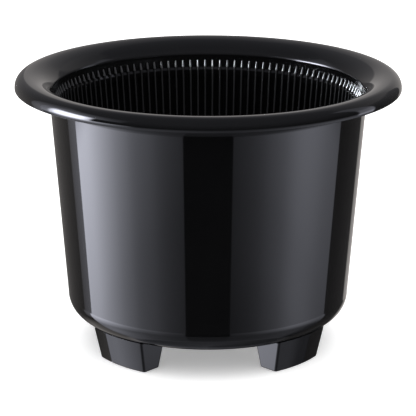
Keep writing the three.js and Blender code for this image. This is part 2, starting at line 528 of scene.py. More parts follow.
@dataclass(frozen=True)
class MouldedPlastic:
    """A black moulded plastic with the faint unevenness that moulding and handling leave.

    Attributes:
        slot: The material's name.
        base: Reflectance of the plastic itself.
        roughness: Middle roughness.
        roughness_spread: How far the roughness wanders from its middle.
        wave_length: Length of the slow waves in the surface, in millimetres.
        wave_height: Height of those waves.
        grain_length: Size of the fine grain.
        grain_height: Height of the fine grain.
        rubbed_and_sheen_base: Reflectance where the surface is worn; on the liner it is lighter, a
            painted sheen.
        rubbed_roughness: Middle roughness there.
    """

    slot: str
    base: tuple[float, float, float]
    roughness: float
    roughness_spread: float
    wave_length: float
    wave_height: float
    grain_length: float = 0.5
    grain_height: float = 0.0
    rubbed_and_sheen_base: tuple[float, float, float] = (0.0, 0.0, 0.0)
    rubbed_roughness: float = 0.0

    CLOUD_LENGTH = 34.0
    RUB_LENGTH = 0.22
    RUB_STRETCH = 0.02
    RUB_SHARE = 0.5
    NOISE_MIDDLE = 0.5
    BASE_DRIFT = 0.25

    def material(self) -> bpy.types.Material:
        """Builds the material.

        Returns:
            The material.
        """
        made, graph = new_material(self.slot)
        place = graph.node("ShaderNodeTexCoord").outputs["Object"]
        clouds = self._noise(graph, place, self.CLOUD_LENGTH, detail=3.0)
        waves = self._noise(graph, place, self.wave_length, detail=1.0)
        grain = self._noise(graph, place, self.grain_length, detail=2.0)
        stretch = graph.node(
            "ShaderNodeMapping", {}, {"Vector": place, "Scale": (1.0, 1.0, self.RUB_STRETCH)}
        )
        rubs = self._noise(graph, stretch.outputs["Vector"], self.RUB_LENGTH, detail=2.0)
        # Mask of wear that also carries painted sheen: it makes the surface rougher and its base colour
        # lighter.
        rubbed_and_sheened = self.rubbed_and_sheened(graph, place)
        middle = rubbed_and_sheened * (self.rubbed_roughness - self.roughness) + self.roughness
        noise_middle = self.NOISE_MIDDLE * (1 + self.RUB_SHARE)
        wander = clouds + rubs * self.RUB_SHARE - noise_middle
        rough = middle + wander * self.roughness_spread
        height = waves * self.wave_height + grain * self.grain_height
        bump = graph.node("ShaderNodeBump", {}, {"Strength": 1.0, "Distance": MM, "Height": height})
        darker = (*(c * (1 - self.BASE_DRIFT) for c in self.base), 1.0)
        lighter = (*(c * (1 + self.BASE_DRIFT) for c in self.base), 1.0)
        tint = graph.mixed(clouds, darker, lighter)
        surface = graph.node(
            "ShaderNodeBsdfPrincipled",
            {},
            {
                # Where that mask is set the base colour turns lighter: on the liner's rib fronts and
                # tops this is painted sheen.
                "Base Color": graph.mixed(rubbed_and_sheened, tint, (*self.rubbed_and_sheen_base, 1.0)),
                "Roughness": rough,
                "IOR": PLASTIC_IOR,
                "Normal": bump.outputs["Normal"],
            },
        )
        graph.node("ShaderNodeOutputMaterial", {}, {"Surface": surface.outputs["BSDF"]})
        return made

    def rubbed_and_sheened(self, graph: Graph, place: bpy.types.NodeSocket) -> Union[Value, float]:
        """Where the surface is rubbed: nowhere on a plain moulding."""
        return 0.0

    @staticmethod
    def _noise(graph: Graph, place: bpy.types.NodeSocket, length: float, detail: float) -> Value:
        """Soft noise whose lumps are about a length in millimetres across."""
        node = graph.node(
            "ShaderNodeTexNoise", {}, {"Vector": place, "Scale": 1.0 / (length * MM), "Detail": detail}
        )
        return graph.value(node, "Fac")


@dataclass(frozen=True)
class RibbedPlastic(MouldedPlastic):
    """The liner's plastic, glossy between the ribs and rubbed dull on their fronts and tops.

    Attributes:
        front_radius: Radius of the ribs' fronts at ground level, in millimetres.
        front_taper: How much that radius grows for each millimetre up.
        front_depth: How far behind the fronts the rubbed part reaches.
        top_start: Height from which the ribs are rubbed all over.
        front_share: How much the fronts are worn and lightened by painted sheen, where the tops are
            wholly.
        edge: Half the width of the rubbed part's soft edge.
    """

    front_radius: float = 58.2
    front_taper: float = 0.1
    front_depth: float = 0.38
    top_start: float = 116.9
    front_share: float = 0.36
    edge: float = 0.05

    # Mask of the rib fronts and tops: real wear for the roughness, painted sheen for the lighter base
    # colour.
    def rubbed_and_sheened(self, graph: Graph, place: bpy.types.NodeSocket) -> Value:
        """Where the surface is rubbed: on the ribs' fronts and tops.

        Args:
            graph: The material's node tree.
            place: The place on the surface.

        Returns:
            How much it is worn and painted with the lighter sheen, from nothing to one.
        """
        radius, height = graph.radius_and_height(place)
        behind = radius - height * self.front_taper - self.front_radius * MM
        near = (self.front_depth - self.edge) * MM
        far = (self.front_depth + self.edge) * MM
        front = graph.spread(behind, near, far, self.front_share, 0.0)
        low = (self.top_start - self.edge) * MM
        high = (self.top_start + self.edge) * MM
        top = graph.spread(height, low, high, 0.0, 1.0)
        return front.math("MAXIMUM", front, top)


@dataclass(frozen=True)
class RimmedPlastic(MouldedPlastic):
    """The outer pot's plastic, high gloss all over but for the mouth's edge, where the liner rubs.

    Attributes:
        mouth_radius: Radius inside which the edge is rubbed, in millimetres.
        mouth_low: Height from which it is rubbed.
        mouth_fade: Width over which the rubbing fades.
    """

    mouth_radius: float = 74.2
    mouth_low: float = 118.0
    mouth_fade: float = 1.6

    def rubbed_and_sheened(self, graph: Graph, place: bpy.types.NodeSocket) -> Value:
        """Where the surface is rubbed: round the mouth's edge.

        Args:
            graph: The material's node tree.
            place: The place on the surface.

        Returns:
            How much it is rubbed, from nothing to one.
        """
        radius, height = graph.radius_and_height(place)
        near = (self.mouth_radius - self.mouth_fade) * MM
        inside = graph.spread(radius, near, self.mouth_radius * MM, 1.0, 0.0)
        low = (self.mouth_low - self.mouth_fade) * MM
        return inside * graph.spread(height, low, self.mouth_low * MM, 0.0, 1.0)


class Finish(Enum):
    """The finishes of the pieces."""

    POT = RimmedPlastic(
        slot="pot_gloss",
        base=(0.003, 0.003, 0.0032),
        roughness=0.045,
        roughness_spread=0.02,
        wave_length=26.0,
        wave_height=0.003,
        rubbed_and_sheen_base=(0.004, 0.004, 0.0042),
        rubbed_roughness=0.15,
    )
    LINER = RibbedPlastic(
        slot="liner_satin",
        base=(0.004, 0.004, 0.0043),
        roughness=0.1,
        roughness_spread=0.04,
        wave_length=9.0,
        wave_height=0.004,
        grain_height=0.001,
        # Lighter colour of the worn rib fronts and tops: painted sheen, for the light lines down the
        # fronts and the bright dashes on the tops.
        rubbed_and_sheen_base=(0.05, 0.05, 0.054),
        rubbed_roughness=0.32,
    )
    GRATE = MouldedPlastic(
        slot="grate_satin",
        base=(0.018, 0.018, 0.0185),
        roughness=0.3,
        roughness_spread=0.08,
        wave_length=14.0,
        wave_height=0.006,
        grain_length=0.4,
        grain_height=0.004,
    )


MATERIALS: dict[Finish, bpy.types.Material] = {}


def finish_piece(
    made: bpy.types.Object, finish: Finish, part: str, replaced: Sequence[str]
) -> bpy.types.Object:
    """Shades and dresses a piece and puts it on its body in place of its plain solids.

    Args:
        made: The piece.
        finish: Its finish.
        part: The body that it rides on.
        replaced: The frame's nodes that it stands for.

    Returns:
        The piece.
    """
    if finish not in MATERIALS:
        MATERIALS[finish] = finish.value.material()
    shaded(made)
    made.data.materials.clear()
    made.data.materials.append(MATERIALS[finish])
    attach(made, part)
    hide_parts(*replaced)
    LOG.info("%s: %d faces, rides on %s", made.name, len(made.data.polygons), part)
    return made


@dataclass(frozen=True)
class RoundHole:
    """A round hole.

    Attributes:
        radius: Its radius.
        middle: Where its middle lies along +X.
        steps: Number of points round it.
    """

    radius: float
    middle: float
    steps: int

    def outline(self, widened: float) -> Outline:
        """The hole's outline in plan, widened by a little."""
        return circle(self.radius + widened, self.steps, self.middle)


@dataclass(frozen=True)
class SlotHole:
    """A round-ended slot that lies along +X.

    Attributes:
        length: Its length.
        width: Its width.
        middle: Where its middle lies.
        steps: Number of points round it.
    """

    length: float
    width: float
    middle: float
    steps: int

    def outline(self, widened: float) -> Outline:
        """The slot's outline in plan, widened by a little."""
        radius = self.width / 2 + widened
        half = (self.length - self.width) / 2
        end_steps = self.steps // 2 - 1
        return [
            *round_arc(self.middle + half, 0.0, radius, -90, 90, end_steps),
            *round_arc(self.middle - half, 0.0, radius, 90, 270, end_steps),
        ]


Hole = Union[RoundHole, SlotHole]


class HoledPlate:
    """A level plate with holes whose edges are rounded at both faces."""

    def __init__(self, body: Body, low: float, high: float, edge: float) -> None:
        """Starts without holes.

        Args:
            body: The body that the plate belongs to.
            low: Height of the lower face.
            high: Height of the upper face.
            edge: Radius of the holes' rounded edges.
        """
        self.body = body
        self.levels = [(edge - x, low + edge - y) for x, y in round_arc(0, 0, edge, 90, 0, steps=4)]
        self.levels += [(edge - x, high - edge + y) for x, y in round_arc(0, 0, edge, 0, 90, steps=4)]
        self.walls: list[list[list[int]]] = []

    def cut(self, hole: Hole, angles: Iterable[float]) -> None:
        """Lines a hole and its copies round the upright axis.

        Args:
            hole: The hole.
            angles: Angle of each in radians.
        """
        for angle in angles:
            loops = []
            for widened, height in self.levels:
                flat = [(x, y, height) for x, y in hole.outline(widened)]
                loops.append(self.body.loop(turned_in_plan(flat, angle)))
            self.body.skin(loops)
            self.walls.append(loops)

    def fill(self, lower: list[int], upper: list[int], *others: list[list[int]]) -> None:
        """Fills both faces round the holes.

        Args:
            lower: Outline of the lower face.
            upper: Outline of the upper face.
            others: Further walls inside it, each with its lowest loop first.
        """
        walls = [*others, *self.walls]
        self.body.fill(lower, [wall[0] for wall in walls])
        self.body.fill(upper, [wall[-1] for wall in walls])


@dataclass
class OuterPot:
    """The outer pot: drained floor, rounded base, tapered wall and rolled rim.

    Attributes:
        rim_radius: Radius of the lip's outside.
        top: Height of the rim's crown.
        underside: Height of the floor's lower face.
    """

    rim_radius: float
    top: float
    underside: float

    crease_radius: float = 66.8
    crease_height: float = 24.3
    wall_taper: float = 0.0757
    corner_width: float = 8.4
    crease_band: float = 0.5
    crease_taper: float = 0.026
    crease_support: float = 0.02
    lip_radius: float = 5.1
    lip_edge: float = 0.9
    lip_edge_round: float = 0.3
    mouth_slope_height: float = 15.7
    mouth_slope_degrees: float = 142.3
    cove_height: float = 116.8
    wall_thickness: float = 2.1
    floor_thickness: float = 2.2
    rim_thickness: float = 2.3
    mouth_rounding: float = 2.2
    neck_height: float = 121.0
    centre_drain_radius: float = 7.0
    drain_slot_count: int = 8
    drain_slot_width: float = 5.0
    drain_slot_length: float = 15.0
    drain_slot_middle: float = 33.0
    peg_hole_radius: float = 3.7
    peg_hole_reach: float = 52.0
    hole_round: float = 0.35
    steps: int = 288
    hole_steps: int = 40

    @property
    def corner_axis(self) -> float:
        """Radius at which the base starts to round up."""
        return self.crease_radius - self.corner_width

    @property
    def corner_height(self) -> float:
        """Height of the rounded base."""
        return self.crease_height - self.underside

    @property
    def floor_top(self) -> float:
        """Height of the floor's upper face."""
        return self.underside + self.floor_thickness

    def wall_radius(self, height: float) -> float:
        """Outside radius of the wall at a height."""
        return self.crease_radius + self.wall_taper * (height - self.crease_height)

    def profile(self) -> Outline:
        """Half section from the underside round the outside, over the rim and down the inside.

        Returns:
            Radius and height of each point.
        """
        crown = self.rim_radius - self.lip_radius
        lip_centre = self.top - self.lip_radius
        lip_bottom = lip_centre - self.lip_edge
        hollow = self.lip_radius - self.rim_thickness
        under_top = self.top - self.rim_thickness
        cove_radius = self.wall_radius(self.cove_height)
        neck = self.wall_radius(self.neck_height) - self.wall_thickness
        slope_axis = self.top - self.mouth_slope_height
        slope_sine = math.sin(math.radians(self.mouth_slope_degrees))
        slope_cosine = math.cos(math.radians(self.mouth_slope_degrees))
        slope_width = (neck + self.mouth_rounding * (1 + slope_cosine) - crown) / slope_cosine
        mouth_height = slope_axis + (self.mouth_slope_height - self.mouth_rounding) * slope_sine
        edge = self.lip_edge_round
        step = (self.wall_taper - self.crease_taper) * self.crease_band
        band_top = self.crease_band - self.crease_support
        wall_foot = self.crease_height + self.crease_band + self.crease_support
        wall_degrees = math.degrees(math.atan(self.wall_taper))
        return [
            *arc(
                self.corner_axis, self.crease_height, self.corner_width + step, self.corner_height,
                270, 360, steps=21,
            ),
            (self.crease_radius + step + self.crease_taper * band_top, self.crease_height + band_top),
            (self.wall_radius(wall_foot), wall_foot),
            *arc(
                crown, self.cove_height, crown - cove_radius, under_top - self.cove_height,
                180 - wall_degrees, 90, steps=26,
            ),
            *round_arc(crown, lip_centre, hollow, 90, 0, steps=12)[1:],
            *round_arc(crown + hollow + edge, lip_bottom + edge, edge, 180, 270, steps=4),
            *round_arc(self.rim_radius - edge, lip_bottom + edge, edge, 270, 360, steps=5),
            *round_arc(crown, lip_centre, self.lip_radius, 0, 90, steps=28),
            *arc(
                crown, slope_axis, slope_width, self.mouth_slope_height,
                90, self.mouth_slope_degrees, steps=22,
            )[1:],
            *round_arc(
                neck + self.mouth_rounding, mouth_height, self.mouth_rounding,
                self.mouth_slope_degrees, 180, steps=8,
            )[1:],
            (neck, self.neck_height),
            *arc(
                self.corner_axis, self.crease_height, self.corner_width - self.wall_thickness,
                self.corner_height - self.floor_thickness, 360, 270, steps=12,
            ),
        ]

    def build(self) -> bpy.types.Object:
        """Builds and dresses the outer pot.

        Returns:
            The pot.
        """
        body = Body()
        loops = body.turned(self.profile(), self.steps)
        floor = HoledPlate(body, self.underside, self.floor_top, self.hole_round)
        floor.cut(RoundHole(self.centre_drain_radius, 0.0, self.hole_steps), [0.0])
        drain = SlotHole(
            self.drain_slot_length, self.drain_slot_width, self.drain_slot_middle, self.hole_steps
        )
        turn = 2 * math.pi / self.drain_slot_count
        floor.cut(drain, [i * turn for i in range(self.drain_slot_count)])
        peg_hole = RoundHole(self.peg_hole_radius, self.peg_hole_reach, self.hole_steps)
        floor.cut(peg_hole, [math.radians(degrees) for degrees in FOOT_DEGREES.values()])
        floor.fill(loops[0], loops[-1])
        made = new_object("pot_body", body.mesh("pot_body"))
        return finish_piece(made, Finish.POT, "pot", ["pot_shell"])


@dataclass
class RibLiner:
    """The lift-out liner: upright ribs on a base ring with a ledge and legs, tied by a hoop.

    Attributes:
        top: Height of the ribs' tops.
        bottom: Height of the legs' feet.
        outer: Radius of the liner at its top.
    """

    top: float
    bottom: float
    outer: float

    taper: float = 0.1
    rib_count: int = 120
    rib_width: float = 0.95
    rib_depth: float = 1.4
    rib_top_slope: float = 3.1
    rib_crown: float = 0.23
    rib_flat: float = 0.04
    nose_radius: float = 0.275
    nose_steps: int = 14
    rib_bend: float = 0.2
    rib_edge: float = 0.12
    hoop_thickness: float = 0.85
    hoop_foot: float = 0.2
    hoop_top: float = 0.1
    hoop_slope: float = 1.1
    hoop_inset: float = 0.15
    hoop_height: float = 4.0
    hoop_drop: float = 0.4
    ring_height: float = 5.0
    ring_thickness: float = 1.7
    leg_height: float = 3.0
    ledge_thickness: float = 2.0
    ledge_width: float = 10.0
    leg_count: int = 4
    leg_width: float = 9.0
    leg_depth: float = 5.0
    leg_inset: float = 1.0
    edge_round: float = 0.3
    edge_steps: int = 3
    steps: int = 240

    def radius(self, height: float) -> float:
        """Outside radius of the liner at a height."""
        return self.outer - self.taper * (self.top - height)

    @property
    def ring_bottom(self) -> float:
        """Height of the base ring's lower face."""
        return self.bottom + self.leg_height

    @property
    def ledge_top(self) -> float:
        """Height of the ledge's upper face."""
        return self.ring_bottom + self.ledge_thickness

    @property
    def ledge_inner(self) -> float:
        """Radius of the ledge's inner edge."""
        return self.radius(self.ledge_top) - self.ring_thickness - self.ledge_width

    @property
    def slope_foot(self) -> float:
        """Height at which the ribs' fronts start to lean back."""
        return self.top - self.rib_top_slope

    def front_depth(self, height: float) -> float:
        """Depth of a rib's front at a height on its sloping top."""
        share = (height - self.slope_foot) / self.rib_top_slope
        return self.rib_depth + (self.hoop_inset + self.rib_crown - self.rib_depth) * share

    def rib_section(self, depth: float, inset: float) -> Outline:
        """A rib's section: depth behind the liner's outside, and offset across.

        Args:
            depth: How deep the tip of its nose lies.
            inset: How far the section is drawn in.

        Returns:
            The outline.
        """
        back = self.hoop_inset + inset
        room = depth - back - self.rib_flat
        half = min(self.rib_width / 2 - inset, math.sqrt(2 * self.nose_radius * room))
        nose = []
        for i in range(self.nose_steps + 1):
            across = half * (2 * i / self.nose_steps - 1)
            nose.append((depth - across ** 2 / (2 * self.nose_radius), across))
        return [(back, -half), *nose, (back, half)]

    def rib(self) -> Body:
        """Builds one rib on the +X side, with a rounded front that leans back over its sloping top.

        Returns:
            The rib.
        """
        lower = self.slope_foot - self.rib_bend / 2
        upper = self.slope_foot + self.rib_bend / 2
        shoulder = self.top - self.rib_edge
        crown = self.front_depth(shoulder)
        levels = [
            (self.ring_bottom + self.ledge_thickness / 2, self.rib_depth, 0.0),
            (lower, self.rib_depth, 0.0),
            (upper, self.front_depth(upper), 0.0),
            (shoulder, crown, 0.0),
            (self.top, crown - self.rib_edge / 2, self.rib_edge / 2),
        ]
        body = Body()
        body.stack([
            body.loop(
                (self.radius(height) - depth, across, height)
                for depth, across in self.rib_section(front, inset)
            )
            for height, front, inset in levels
        ])
        return body

    def base_ring(self) -> Body:
        """Builds the ring that the ribs grow out of, with its inner ledge.

        Returns:
            The ring.
        """
        edge = self.edge_round
        low = self.ring_bottom
        high = low + self.ring_height
        inner = self.radius(high) - self.ring_thickness
        ledge = self.ledge_top
        body = Body()
        body.ring([
            *round_arc(self.ledge_inner + edge, low + edge, edge, 180, 270, self.edge_steps),
            *round_arc(self.radius(low) - edge, low + edge, edge, 270, 360, self.edge_steps),
            *round_arc(self.radius(high) - edge, high - edge, edge, 0, 90, self.edge_steps),
            *round_arc(inner + edge, high - edge, edge, 90, 180, self.edge_steps),
            (self.radius(ledge) - self.ring_thickness, ledge),
            *round_arc(self.ledge_inner + edge, ledge - edge, edge, 90, 180, self.edge_steps),
        ], self.steps)
        return body

    def hoop(self) -> Body:
        """Builds the hoop that ties the ribs below their tops.

        Returns:
            The hoop.
        """
        high = self.slope_foot - self.hoop_drop
        low = high - self.hoop_height
        shoulder = high - self.hoop_slope
        body = Body()
        body.ring([
            (self.radius(low) - self.hoop_foot, low),
            (self.radius(low), low),
            (self.radius(high), high),
            (self.radius(high) - self.hoop_top, high),
            (self.radius(shoulder) - self.hoop_thickness, shoulder),
        ], self.steps)
        return body

    def leg(self) -> Body:
        """Builds one leg with rounded corners, on the +X side.

        Returns:
            The leg.
        """
        edge = self.edge_round
        corner = 2 * edge
        near = self.ledge_inner + self.leg_inset + corner
        far = near + self.leg_depth - 2 * corner
        half = self.leg_width / 2 - corner
        corners = [(far, -half, 270), (far, half, 0), (near, half, 90), (near, -half, 180)]
        body = Body()
        loops = []
        levels = [(edge, self.bottom), (0.0, self.bottom + edge), (0.0, self.ledge_top - edge)]
        for inset, height in levels:
            outline: Outline = []
            for x, y, start in corners:
                outline += round_arc(x, y, corner - inset, start, start + 90, self.edge_steps)
            loops.append(body.level_loop(outline, height))
        body.stack(loops)
        return body

    def build(self) -> bpy.types.Object:
        """Builds and dresses the liner.

        Returns:
            The liner.
        """
        ribs = self.rib().repeated(self.rib_count)
        legs = self.leg().repeated(self.leg_count)
        made = joined("liner_body", [self.base_ring(), self.hoop(), legs, ribs])
        return finish_piece(made, Finish.LINER, "liner", ["rib_liner"])


@dataclass
class DrainGrate:
    """The lift-out slotted plate with a raised edge and a collared finger hole.

    Attributes:
        outer: Radius of the plate.
        underside: Height of its lower face.
    """

    outer: float
    underside: float

    thickness: float = 2.0
    edge_height: float = 1.6
    edge_width: float = 1.6
    slot_width: float = 3.4
    outer_slot_count: int = 24
    outer_slot_length: float = 15.0
    inner_slot_count: int = 12
    inner_slot_length: float = 14.0
    slot_row_gap: float = 3.2
    finger_hole_radius: float = 8.0
    collar_height: float = 3.0
    collar_width: float = 2.0
    edge_round: float = 0.4
    hole_round: float = 0.3
    edge_steps: int = 4
    steps: int = 192
    hole_steps: int = 28

    def build(self) -> bpy.types.Object:
        """Builds and dresses the grate.

        Returns:
            The grate.
        """
        edge = self.edge_round
        low = self.underside
        high = low + self.thickness
        rim = high + self.edge_height
        inside = self.outer - self.edge_width
        body = Body()
        border = body.turned([
            *round_arc(inside - edge, high + edge, edge, 270, 360, self.edge_steps),
            *round_arc(inside + edge, rim - edge, edge, 180, 90, self.edge_steps),
            *round_arc(self.outer - edge, rim - edge, edge, 90, 0, self.edge_steps),
            *round_arc(self.outer - edge, low + edge, edge, 360, 270, self.edge_steps),
        ], self.steps)
        near = self.finger_hole_radius
        far = near + self.collar_width
        crown = high + self.collar_height
        collar = body.turned([
            *round_arc(far + edge, high + edge, edge, 270, 180, self.edge_steps),
            *round_arc(far - edge, crown - edge, edge, 0, 90, self.edge_steps),
            *round_arc(near + edge, crown - edge, edge, 90, 180, self.edge_steps),
            *round_arc(near + edge, low + edge, edge, 180, 270, self.edge_steps),
        ], self.steps // 2)
        outer_middle = inside - self.slot_row_gap - self.outer_slot_length / 2
        inner_middle = (
            outer_middle - self.outer_slot_length / 2 - self.slot_row_gap - self.inner_slot_length / 2
        )
        plate = HoledPlate(body, low, high, self.hole_round)
        rows = [
            (self.outer_slot_count, outer_middle, self.outer_slot_length, 0.0),
            (self.inner_slot_count, inner_middle, self.inner_slot_length, 0.5),
        ]
        for count, middle, length, shift in rows:
            slot = SlotHole(length, self.slot_width, middle, self.hole_steps)
            plate.cut(slot, [2 * math.pi * (i + shift) / count for i in range(count)])
        plate.fill(border[-1], border[0], collar[::-1])
        made = new_object("grate_body", body.mesh("grate_body"))
        return finish_piece(made, Finish.GRATE, "grate", ["drain_grate"])


@dataclass
class Foot:
    """A flared foot under the rounded base, with a slit peg up through the floor.

    Attributes:
        name: Name of the frame's node that it stands for.
        degrees: Where it stands, anticlockwise from +X.
        pot: The pot that it carries.
    """

    name: str
    degrees: float
    pot: OuterPot

    set_back: float = 7.9
    depth: float = 11.6
    half_width: float = 14.5
    outer_flare: float = 0.2245
    inner_flare: float = 0.19
    side_flare: float = 0.088
    edge_radius: float = 1.3
    least_edge_radius: float = 0.3
    bottom_round: float = 0.7
    top_round: float = 0.04
    top_inset: float = 4.0
    seat_gap: float = 0.3
    seat_passes: int = 4
    peg_radius: float = 3.4
    peg_head_radius: float = 4.4
    peg_head_height: float = 2.0
    peg_slit: float = 1.1
    peg_root: float = 3.0
    peg_edge: float = 0.2

    def outline(self, height: float, inset: float) -> Outline:
        """Outline in plan at a height, anticlockwise, for a foot that points along +X.

        Args:
            height: Height above the ground.
            inset: How far the outline is drawn in.

        Returns:
            The outline.
        """
        reach = self.pot.crease_radius - self.set_back
        outer = reach + self.outer_flare * height - inset
        inner = reach - self.depth - self.inner_flare * height + inset
        side = self.half_width + self.side_flare * height - inset
        corner = max(self.edge_radius - inset, self.least_edge_radius)
        edge_y = side - corner
        edge_x = math.sqrt((outer - corner) ** 2 - edge_y ** 2)
        turn = math.degrees(math.atan2(edge_y, edge_x))
        half = [
            *round_arc(0.0, 0.0, outer, 0, turn, steps=12),
            *round_arc(edge_x, edge_y, corner, turn, 90, steps=6)[1:],
            *round_arc(inner + corner, edge_y, corner, 90, 180, steps=6),
        ]
        return half + [(x, -y) for x, y in reversed(half[1:])]

    def seat(self, x: float, y: float) -> float:
        """Height of the foot's top below the pot's rounded base.

        Args:
            x: Place in plan.
            y: Place in plan.

        Returns:
            The height.
        """
        pot = self.pot
        beyond = max(math.hypot(x, y) - pot.corner_axis, 0.0) / (pot.corner_width + self.seat_gap)
        drop = (pot.corner_height + self.seat_gap) * math.sqrt(1.0 - min(beyond, 1.0) ** 2)
        return pot.crease_height - drop

    def top_outline(self, inset: float, below: float) -> list[Point]:
        """The block's outline where it meets the pot's base.

        Args:
            inset: How far the outline is drawn in.
            below: How far below the seat it lies.

        Returns:
            The outline's points in space.
        """
        points = []
        start = self.outline(self.pot.underside, inset)
        for i, (x, y) in enumerate(start):
            height = self.seat(x, y)
            for _ in range(self.seat_passes):
                x, y = self.outline(height, inset)[i]
                height = self.seat(x, y)
            points.append((x, y, height - below))
        return points

    def block(self) -> Body:
        """Builds the foot's block with rounded edges.

        Returns:
            The block.
        """
        body = Body()
        low = self.bottom_round
        loops = []
        for across, up in round_arc(0.0, 0.0, low, 90, 0, steps=6):
            height = low - up
            loops.append(body.level_loop(self.outline(height, low - across), height))
        middle = self.pot.underside / 2
        loops.append(body.level_loop(self.outline(middle, 0.0), middle))
        high = self.top_round
        for across, up in round_arc(0.0, 0.0, high, 0, 90, steps=5):
            loops.append(body.loop(self.top_outline(high - across, high - up)))
        inner = self.outline(self.pot.underside, self.top_inset)
        loops.append(body.loop((x, y, self.seat(x, y)) for x, y in inner))
        body.stack(loops)
        return body

    def prong(self, side: float) -> Body:
        """Builds one half of the slit peg.

        Args:
            side: 1 or -1, for the half that it is.

        Returns:
            The prong.
        """
        base = self.pot.underside - self.peg_root
        head = self.pot.floor_top + self.seat_gap
        crown = head + self.peg_head_height
        edge = self.peg_edge
        levels = [
            (self.peg_radius, base),
            (self.peg_radius, head),
            (self.peg_head_radius - edge, head),
            (self.peg_head_radius, head + edge),
            (self.peg_radius, crown - edge),
            (self.peg_radius - edge, crown),
        ]
        body = Body()
        loops = []
        for radius, height in levels:
            start = math.degrees(math.asin(self.peg_slit / 2 / radius))
            half = round_arc(self.pot.peg_hole_reach, 0.0, radius, start, 180 - start, steps=16)
            loops.append(body.level_loop([(x, side * y) for x, y in half], height))
        body.stack(loops)
        return body

    def build(self) -> bpy.types.Object:
        """Builds and dresses the foot.

        Returns:
            The foot.
        """
        angle = math.radians(self.degrees)
        bodies = []
        for shape in (self.block(), self.prong(1.0), self.prong(-1.0)):
            turned = Body()
            turned.add(shape, angle)
            bodies.append(turned)
        made = joined(f"{self.name}_body", bodies)
        return finish_piece(made, Finish.POT, "pot", [self.name])


Stops = tuple[tuple[float, float], ...]


@dataclass(frozen=True)
class Panel:
    """A pale or lit panel that the pot's gloss mirrors, given by the directions in which it is seen.

    It reaches from the first to the last stop of each curve. Angles are in degrees.

    Attributes:
        across: Pairs of azimuth and level, where 1 is white.
        up: Pairs of elevation and share of that level.
        side_softness: Width of its upright edges.
        end_softness: Width of its level edges.
    """

    across: Stops
    up: Stops
    side_softness: float = 0.8
    end_softness: float = 3.0

    def level(self, graph: Graph, azimuth: Value, elevation: Value) -> Value:
        """Works out how bright the panel is in each direction.

        Args:
            graph: The world's node tree.
            azimuth: Azimuth of the direction.
            elevation: Elevation of the direction.

        Returns:
            The level.
        """
        inside = graph.window(azimuth, self.across[0][0], self.across[-1][0], self.side_softness)
        within = graph.window(elevation, self.up[0][0], self.up[-1][0], self.end_softness)
        return inside * within * graph.curve(azimuth, self.across) * graph.curve(elevation, self.up)


class Reflected(Enum):
    """The panels round the pot."""

    LEFT_SHEET = Panel(
        ((-113.0, 4.6), (-97.0, 5.9), (-76.0, 4.2), (-60.0, 2.3), (-40.0, 1.15), (-18.3, 0.45)),
        ((-62.0, 0.05), (-46.0, 0.22), (-33.5, 0.3), (-29.0, 0.55), (-25.0, 0.74), (-18.5, 1.3)),
    )
    LEFT_EDGE = Panel(
        ((-124.0, 0.3), (-112.6, 0.9)),
        ((-27.0, 0.5), (-18.0, 1.0), (4.0, 1.0), (44.0, 0.3)),
    )
    LEFT_FOOT = Panel(
        ((-104.0, 4.0), (-88.0, 7.5), (-72.0, 6.0), (-60.0, 3.6), (-44.0, 0.6)),
        ((-15.0, 0.1), (-8.0, 0.8), (-2.0, 1.1)),
        side_softness=6.0,
        end_softness=4.0,
    )
    LEFT_SIDE = Panel(
        ((-113.0, 1.2), (-103.0, 2.2)),
        ((-10.0, 1.3), (20.0, 0.8), (44.0, 0.2)),
    )
    SOFTBOX = Panel(
        ((-105.0, 6.0), (-99.0, 20.0), (-88.0, 27.0), (-78.0, 26.0), (-71.0, 10.0)),
        ((-6.0, 0.3), (0.0, 0.75), (8.0, 1.0), (16.0, 0.9), (23.0, 0.3)),
        side_softness=4.0,
        end_softness=4.0,
    )
    LEFT_HEAD = Panel(
        ((-104.0, 1.6), (-90.0, 2.0), (-70.0, 1.0), (-52.0, 0.3)),
        ((20.0, 1.5), (26.0, 1.0), (34.0, 0.6), (44.0, 0.1)),
        side_softness=6.0,
    )
    RIGHT_SHEET = Panel(
        ((18.3, 0.3), (42.0, 0.78), (60.0, 1.5), (75.0, 2.05), (94.0, 1.3), (113.0, 0.6)),
        ((-58.0, 0.04), (-46.0, 0.1), (-32.0, 0.2), (-27.0, 0.58), (-24.0, 0.8), (-18.5, 1.2)),
    )
    RIGHT_STRIP = Panel(
        ((97.0, 1.0), (112.0, 1.0)),
        ((-12.0, 2.6), (-2.0, 1.4), (10.0, 1.1), (18.0, 0.6), (44.0, 0.4)),
        side_softness=3.0,
        end_softness=4.0,
    )
    SKIRT = Panel(
        ((-113.0, 0.6), (-60.0, 1.0), (0.0, 0.42), (40.0, 0.6), (75.0, 1.2), (113.0, 0.6)),
        ((-18.0, 1.0), (-12.0, 0.7), (-3.0, 0.1)),
    )
    NEAR = Panel(
        ((-104.0, 0.13), (96.0, 0.13)),
        ((-57.0, 1.6), (-44.0, 1.15), (-30.0, 1.0)),
        side_softness=16.0,
    )
    UNDER = Panel(
        (
            (-190.0, 0.3), (-90.0, 0.22), (0.0, 0.32), (60.0, 0.2),
            (90.0, 0.12), (140.0, 0.1), (190.0, 0.3),
        ),
        ((-100.0, 1.0), (-56.0, 1.0)),
    )


BEHIND_UP: Stops = ((-30.0, 1.2), (6.0, 0.9), (13.0, 0.72), (25.0, 0.36), (52.0, 0.1))


class Backdrop(Enum):
    """The dim panels at the sides and the pale wall behind."""

    LEFT = Panel(
        ((-171.0, 0.18), (-113.4, 0.18)),
        ((-60.0, 2.4), (-38.0, 2.4), (-30.0, 0.5), (-10.0, 1.2), (20.0, 0.6), (50.0, 0.1)),
    )
    RIGHT = Panel(((113.4, 0.06), (151.0, 0.06)), ((-60.0, 1.0), (20.0, 1.0), (24.0, 3.0), (50.0, 1.0)))
    BEHIND_LEFT = Panel(
        ((-190.0, 0.5), (-171.0, 0.5)), BEHIND_UP, side_softness=2.0, end_softness=6.0
    )
    BEHIND_RIGHT = Panel(((151.0, 0.45), (190.0, 0.5)), BEHIND_UP, end_softness=6.0)


